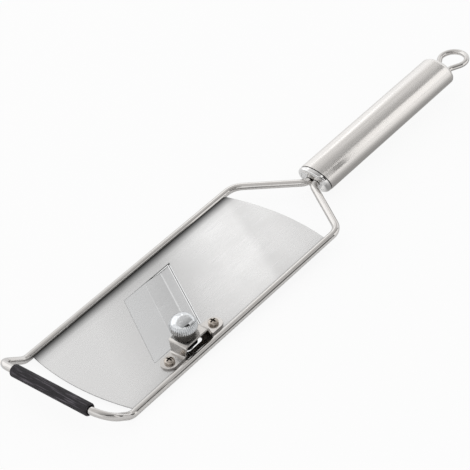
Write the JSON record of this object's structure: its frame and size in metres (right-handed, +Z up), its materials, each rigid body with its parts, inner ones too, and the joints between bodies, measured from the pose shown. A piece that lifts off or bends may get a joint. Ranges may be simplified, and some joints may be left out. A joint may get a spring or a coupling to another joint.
{
  "type": "truffle slicer",
  "caption": "Hand truffle slicer: steel plate with slanted blade in a bent wire frame, knob-set thickness flap, tube handle with hanging loop and rubber front grip.",
  "frame": {"origin": "middle of the wire rectangle, on the plate's top face", "axes": "+X towards the handle, +Y to the side away from the thumb knob, +Z up from the plate, to the side the food slides on"},
  "size_m": [0.3842, 0.0844, 0.0286],
  "materials": {
    "polished_wire": "polished stainless steel wire",
    "satin_sheet": "satin stainless steel sheet",
    "blade_steel": "ground blade steel",
    "plain_hardware": "plain stainless steel",
    "polished_strip": "polished stainless steel strip",
    "bright_hardware": "polished screw heads",
    "dark_collar": "dark grey smooth polymer",
    "black_rubber": "black ribbed silicone rubber",
    "brushed_tube": "brushed along its length",
    "polished_cap": "polished stainless steel",
    "seal_rubber": "thin dark rubber ring",
    "inner_plug": "hard grey polymer inside the handle"
  },
  "bodies": {
    "frame": {"wire_frame": "polished_wire", "slicing_plate": "satin_sheet", "cutting_blade": "blade_steel", "adjuster_bridge": "polished_strip", "bridge_screws": "bright_hardware", "bridge_nuts": "plain_hardware", "lock_washers": "plain_hardware", "knob_collar": "dark_collar", "grip_sleeve": "black_rubber", "handle_tube": "brushed_tube", "handle_cap": "polished_cap", "seal_ring": "seal_rubber", "wire_anchor": "inner_plug", "loop_plug": "inner_plug", "hanging_loop": "polished_wire"},
    "knob": {"thumb_knob": "bright_hardware", "knob_stud": "plain_hardware", "stud_clip": "plain_hardware"},
    "flap": {"thickness_flap": "satin_sheet", "ear_nut": "plain_hardware"}
  },
  "joints": [
    {"name": "knob_spin", "type": "hinge", "parent": "frame", "child": "knob", "pos_m": [-0.0304, -0.0273, 0.0102], "axis": [0, 0, 1], "range_deg": [-66.3, 592.6]},
    {"name": "flap_tilt", "type": "hinge", "parent": "frame", "child": "flap", "pos_m": [-0.03833, 0.0008, -0.0004], "axis": [0.5075, 0.8616, 0], "range_deg": [-0.36, 3.14]}
  ],
  "couplings": [
    {"joint": "flap_tilt", "follows": "knob_spin", "ratio": 0.0052817}
  ]
}
